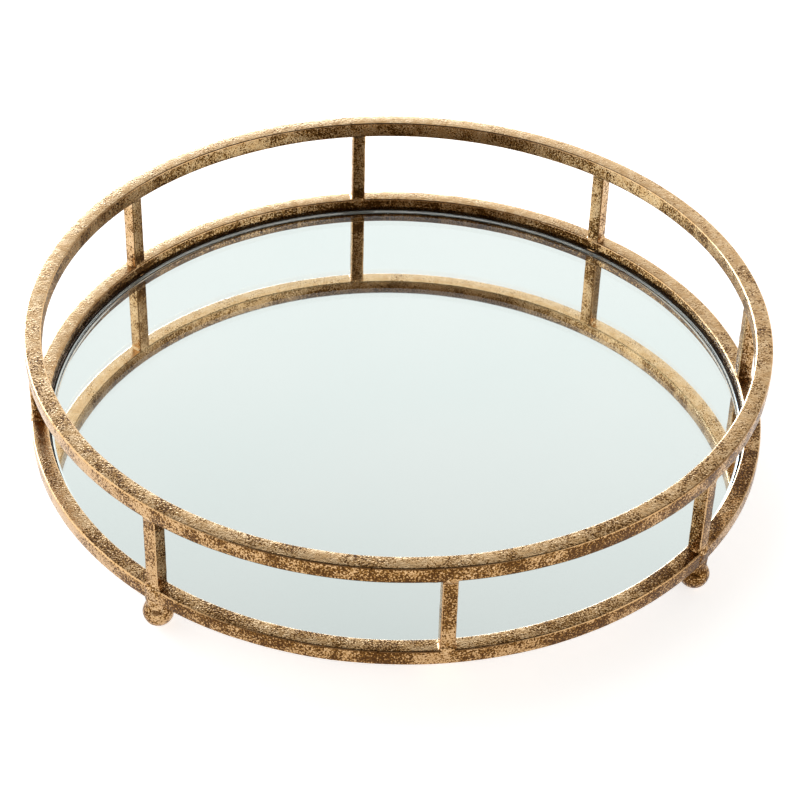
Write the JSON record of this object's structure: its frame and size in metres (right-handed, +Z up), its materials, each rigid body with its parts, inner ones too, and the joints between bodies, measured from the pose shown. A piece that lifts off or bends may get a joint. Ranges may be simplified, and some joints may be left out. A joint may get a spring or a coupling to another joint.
{
  "type": "dresser vanity tray",
  "caption": "Round mirrored vanity tray with an open rail of square metal bar, upright posts and ball feet, in an aged gold leaf finish.",
  "frame": {"origin": "on the table under the tray's centre, at the lowest point of the ball feet", "axes": "+Z up along the tray's axis of symmetry, front towards -Y, one post on each of +X, +Y, -X and -Y"},
  "size_m": [0.3, 0.3, 0.0612],
  "materials": {
    "rail_metal": "aged gold leaf over brown size, satin, finely mottled, worn along the edges",
    "foot_metal": "aged gold leaf, a little glossier and browner than the rail",
    "mirror": "silvered clear float glass with ground edges",
    "sealant": "dark brown rubbery sealant, satin",
    "board": "fibreboard painted matt black",
    "clip_metal": "bent sheet in the rail's aged gold finish",
    "screw_steel": "zinc-plated steel"
  },
  "bodies": {
    "root": {"top_ring": "rail_metal", "base_ring": "rail_metal", "post_right": "rail_metal", "post_back_right": "rail_metal", "post_back": "rail_metal", "post_back_left": "rail_metal", "post_left": "rail_metal", "post_front_left": "rail_metal", "post_front": "rail_metal", "post_front_right": "rail_metal", "upper_post_welds": "rail_metal", "lower_post_welds": "rail_metal", "ball_foot_back_right": "foot_metal", "ball_foot_back_left": "foot_metal", "ball_foot_front_left": "foot_metal", "ball_foot_front_right": "foot_metal", "foot_neck_back_right": "rail_metal", "foot_neck_back_left": "rail_metal", "foot_neck_front_left": "rail_metal", "foot_neck_front_right": "rail_metal", "mirror_glass": "mirror", "edge_seal": "sealant", "backing_board": "board", "clip_right": "clip_metal", "clip_back": "clip_metal", "clip_left": "clip_metal", "clip_front": "clip_metal", "clip_screws": "screw_steel"}
  },
  "joints": []
}
